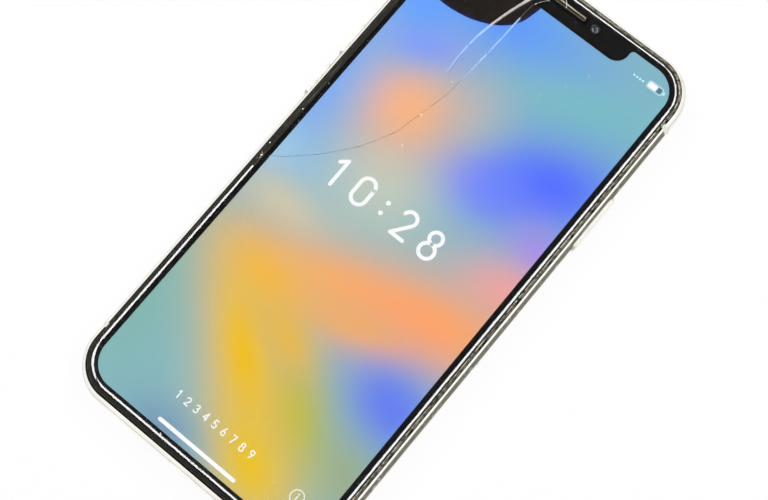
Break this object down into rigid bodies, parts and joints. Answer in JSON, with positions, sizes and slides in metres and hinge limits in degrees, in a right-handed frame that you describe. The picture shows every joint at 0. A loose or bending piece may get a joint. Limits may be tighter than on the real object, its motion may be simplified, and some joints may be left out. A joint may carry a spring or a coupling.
{
  "type": "shattered screen phone",
  "caption": "Slim glass-fronted phone lying on its back, with a notched display, long cracks through the cover glass, a dead display corner and a polished rounded metal band.",
  "frame": {"origin": "under the middle of the phone, on the surface that it lies on", "axes": "+X across the screen to the side button, +Y to the earpiece end, +Z out of the screen"},
  "size_m": [0.0716, 0.1436, 0.0088],
  "materials": {
    "cover_glass": "polished, cracked",
    "display": "lit picture panel with a dead corner",
    "display_metal": "dark anodised sheet",
    "black_plastic": "moulded",
    "seal_rubber": "thin foam",
    "flex_circuit": "amber film",
    "mesh_metal": "woven mesh",
    "lens_black": "moulded with lens",
    "bracket_steel": "stamped",
    "polished_band": "polished, scratched",
    "antenna_plastic": "injected",
    "midplate_aluminium": "machined",
    "rear_glass": "pearl white glass",
    "lens_glass": "polished",
    "flash_amber": "diffuser",
    "battery_wrap": "foil wrap",
    "adhesive_white": "pull tab strip",
    "copper": "wound copper",
    "circuit_board": "solder resist",
    "card_plastic": "card",
    "switch_parts": "metal dome",
    "switch_orange": "painted"
  },
  "bodies": {
    "phone": {"glass_main": "cover_glass", "glass_left_shard": "cover_glass", "glass_upper_sliver": "cover_glass", "glass_top_chip": "cover_glass", "display_panel": "display", "display_back_plate": "display_metal", "display_frame": "black_plastic", "display_seal": "seal_rubber", "display_flex": "flex_circuit", "earpiece_mesh": "mesh_metal", "earpiece_speaker": "black_plastic", "front_camera": "lens_black", "infrared_camera": "lens_black", "dot_projector": "lens_black", "flood_illuminator": "black_plastic", "proximity_sensor": "black_plastic", "sensor_bracket": "bracket_steel", "band_top": "polished_band", "band_bottom": "polished_band", "band_left": "polished_band", "band_right": "polished_band", "antenna_breaks": "antenna_plastic", "midplate": "midplate_aluminium", "rear_glass": "rear_glass", "camera_bump_ring": "polished_band", "camera_cover_glass": "lens_glass", "wide_camera": "lens_black", "tele_camera": "lens_black", "flash_led": "flash_amber", "rear_microphone": "black_plastic", "battery_long_cell": "battery_wrap", "battery_short_cell": "battery_wrap", "battery_adhesive": "adhesive_white", "battery_flex": "flex_circuit", "charging_coil": "copper", "logic_board": "circuit_board", "shield_cans": "bracket_steel", "connector_cover": "bracket_steel", "internal_screws": "bracket_steel", "sim_reader": "bracket_steel", "vibration_motor": "bracket_steel", "loudspeaker": "black_plastic", "charging_port": "bracket_steel", "charging_flex": "flex_circuit", "bottom_microphones": "black_plastic", "bottom_screws": "bracket_steel", "side_button_switch": "switch_parts", "volume_switches": "switch_parts", "ring_switch_base": "switch_orange"},
    "side_button": {"side_button": "polished_band"},
    "volume_up_button": {"volume_up_button": "polished_band"},
    "volume_down_button": {"volume_down_button": "polished_band"},
    "ring_switch": {"ring_switch": "polished_band"},
    "sim_tray": {"sim_tray": "polished_band", "sim_card": "card_plastic"}
  },
  "joints": [
    {"name": "side_button_press", "type": "slide", "parent": "phone", "child": "side_button", "axis": [-1, 0, 0], "range_m": [0, 0.0003], "stiffness_N_per_m": 400, "springref_m": -0.0008},
    {"name": "volume_up_press", "type": "slide", "parent": "phone", "child": "volume_up_button", "axis": [1, 0, 0], "range_m": [0, 0.0003], "stiffness_N_per_m": 400, "springref_m": -0.0008},
    {"name": "volume_down_press", "type": "slide", "parent": "phone", "child": "volume_down_button", "axis": [1, 0, 0], "range_m": [0, 0.0003], "stiffness_N_per_m": 400, "springref_m": -0.0008},
    {"name": "ring_switch_slide", "type": "slide", "parent": "phone", "child": "ring_switch", "axis": [0, 0, 1], "range_m": [0, 0.0012]},
    {"name": "sim_tray_pull", "type": "slide", "parent": "phone", "child": "sim_tray", "axis": [1, 0, 0], "range_m": [0, 0.024]}
  ]
}
